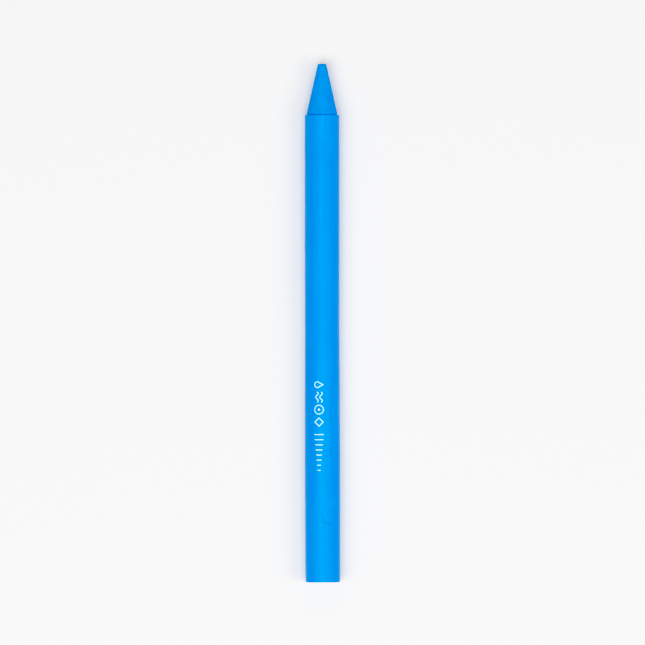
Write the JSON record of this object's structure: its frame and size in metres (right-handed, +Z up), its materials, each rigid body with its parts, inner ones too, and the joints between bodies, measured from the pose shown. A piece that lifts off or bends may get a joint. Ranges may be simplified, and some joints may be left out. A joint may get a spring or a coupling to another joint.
{
  "type": "crayon",
  "caption": "Slim round all-core crayon: a coloured stick with a blunt bare cone, in a thin sleeve of the same colour with a white printed row.",
  "frame": {"origin": "on the table that the crayon lies on, under the middle of its length", "axes": "+Y along the crayon towards its point, +Z up from the table, +X across it"},
  "size_m": [0.008, 0.1208, 0.008],
  "materials": {
    "wax_core": "matte",
    "sleeve": "satin",
    "white_ink": "satin"
  },
  "bodies": {
    "root": {"core_stick": "wax_core", "barrel_sleeve": "sleeve", "ink_drop": "white_ink", "ink_wave_left": "white_ink", "ink_wave_right": "white_ink", "ink_ring": "white_ink", "ink_dot": "white_ink", "ink_diamond": "white_ink", "ink_bar_1": "white_ink", "ink_bar_2": "white_ink", "ink_bar_3": "white_ink", "ink_bar_4": "white_ink", "ink_bar_5": "white_ink", "ink_bar_6": "white_ink", "ink_bar_7": "white_ink", "ink_bar_8": "white_ink"}
  },
  "joints": []
}
